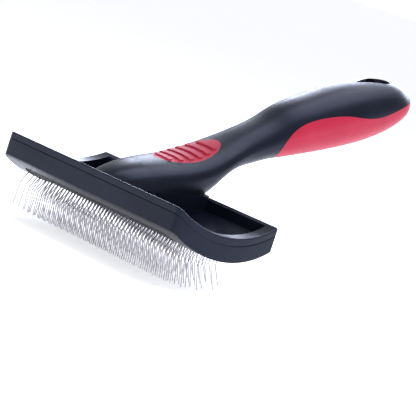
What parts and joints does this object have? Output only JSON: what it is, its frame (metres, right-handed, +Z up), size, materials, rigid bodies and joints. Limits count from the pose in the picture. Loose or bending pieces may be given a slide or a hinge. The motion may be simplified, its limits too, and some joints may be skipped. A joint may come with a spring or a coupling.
{
  "type": "slicker brush",
  "caption": "Pet grooming brush with a curved head, fine bent wire pins on a cushioned pad, and a two-tone soft-grip handle with a hang hole.",
  "frame": {"origin": "centre of the bounding box at its base, level with the lowest pin tips", "axes": "+Z up, +Y from the head towards the handle's end, +X across the head"},
  "size_m": [0.122, 0.173, 0.1032],
  "materials": {
    "head_plastic": "satin moulded",
    "head_textured": "fine spark-eroded texture",
    "handle_plastic": "satin moulded",
    "grip_rubber": "soft matt overmould",
    "pad_plastic": "matt",
    "foam": "open foam",
    "pin_wire": "drawn wire",
    "screw_steel": "zinc plated"
  },
  "bodies": {
    "brush": {"tray_cover": "head_plastic", "head_skirt": "head_textured", "pad_bezel": "head_plastic", "foam_cushion": "foam", "bezel_screws": "screw_steel", "neck_screws": "screw_steel", "handle_core": "handle_plastic", "palm_grip": "grip_rubber", "thumb_pad": "grip_rubber"},
    "pin_bed": {"pin_pad": "pad_plastic", "pin_row_01": "pin_wire", "pin_row_02": "pin_wire", "pin_row_03": "pin_wire", "pin_row_04": "pin_wire", "pin_row_05": "pin_wire", "pin_row_06": "pin_wire", "pin_row_07": "pin_wire", "pin_row_08": "pin_wire", "pin_row_09": "pin_wire", "pin_row_10": "pin_wire"}
  },
  "joints": [
    {"name": "pad_float", "type": "slide", "parent": "brush", "child": "pin_bed", "axis": [0, 0, 1], "range_m": [0, 0.0012], "stiffness_N_per_m": 3000, "springref_m": -0.0004, "deforming": ["foam_cushion"]}
  ]
}
